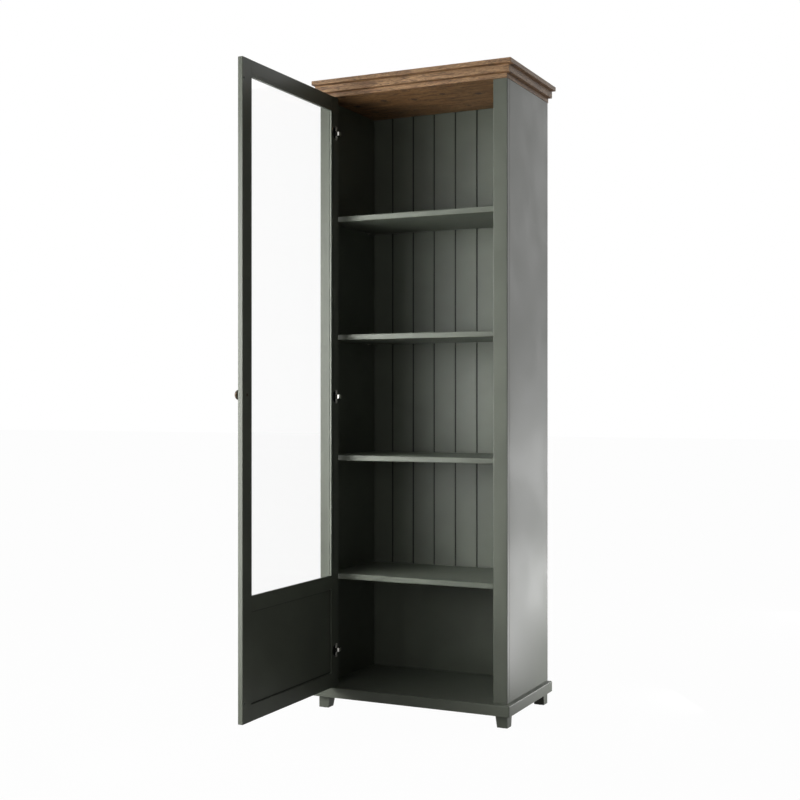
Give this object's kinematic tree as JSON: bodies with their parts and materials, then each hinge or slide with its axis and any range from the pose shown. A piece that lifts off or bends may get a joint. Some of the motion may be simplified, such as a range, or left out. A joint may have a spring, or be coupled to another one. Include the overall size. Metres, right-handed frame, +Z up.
{
  "type": "display bookcase",
  "caption": "Tall painted wood bookcase with one framed glass door hinged at the left, open shelves, grooved back, oak cornice and short tapered feet.",
  "frame": {"origin": "on the floor, at the middle of the width, in the plane of the back", "axes": "+Z up, -Y out of the front, +X to the right as seen from the front"},
  "size_m": [0.6945, 0.941, 2.0255],
  "materials": {
    "painted_wood": "dark grey-green silk paint",
    "oak": "brown oiled oak",
    "dowel_wood": "bare beech",
    "clear_glass": "clear float glass",
    "bronzed_brass": "aged brass",
    "plated_steel": "nickel-plated steel",
    "zinc_steel": "zinc-plated steel",
    "glide_plastic": "black plastic",
    "bumper_plastic": "soft dark grey plastic"
  },
  "bodies": {
    "cabinet": {"foot_front_left": "painted_wood", "foot_front_right": "painted_wood", "foot_back_left": "painted_wood", "foot_back_right": "painted_wood", "base_board": "painted_wood", "left_side_panel": "painted_wood", "right_side_panel": "painted_wood", "left_pilaster": "painted_wood", "right_pilaster": "painted_wood", "back_panel_grooved": "painted_wood", "back_panel_plain": "painted_wood", "shelf_lowest": "painted_wood", "shelf_second": "painted_wood", "shelf_third": "painted_wood", "shelf_highest": "painted_wood", "cornice_lower_board": "oak", "cornice_middle_board": "oak", "cornice_top_board": "oak", "carcass_dowels": "dowel_wood", "pilaster_dowels": "dowel_wood", "cornice_dowels": "dowel_wood", "hinge_arm_top": "plated_steel", "hinge_arm_middle": "plated_steel", "hinge_arm_bottom": "plated_steel", "hinge_arm_screws": "plated_steel", "shelf_pins": "plated_steel", "foot_bolts": "zinc_steel", "back_nails": "zinc_steel", "foot_glides": "glide_plastic"},
    "door": {"door_hinge_stile": "painted_wood", "door_free_stile": "painted_wood", "door_top_rail": "painted_wood", "door_middle_rail": "painted_wood", "door_bottom_rail": "painted_wood", "door_lower_panel": "painted_wood", "door_glass": "clear_glass", "glazing_bead_top": "painted_wood", "glazing_bead_bottom": "painted_wood", "glazing_bead_free": "painted_wood", "glazing_bead_hinge": "painted_wood", "hinge_cup_top": "plated_steel", "hinge_cup_middle": "plated_steel", "hinge_cup_bottom": "plated_steel", "hinge_cup_screws": "plated_steel", "hinge_pins": "plated_steel", "knob": "bronzed_brass", "knob_screw": "bronzed_brass", "door_bumpers": "bumper_plastic"}
  },
  "joints": [
    {"name": "door_swing", "type": "hinge", "parent": "cabinet", "child": "door", "pos_m": [-0.2678, -0.3862, 0], "axis": [0, 0, 1], "range_deg": [-15, 90]}
  ]
}
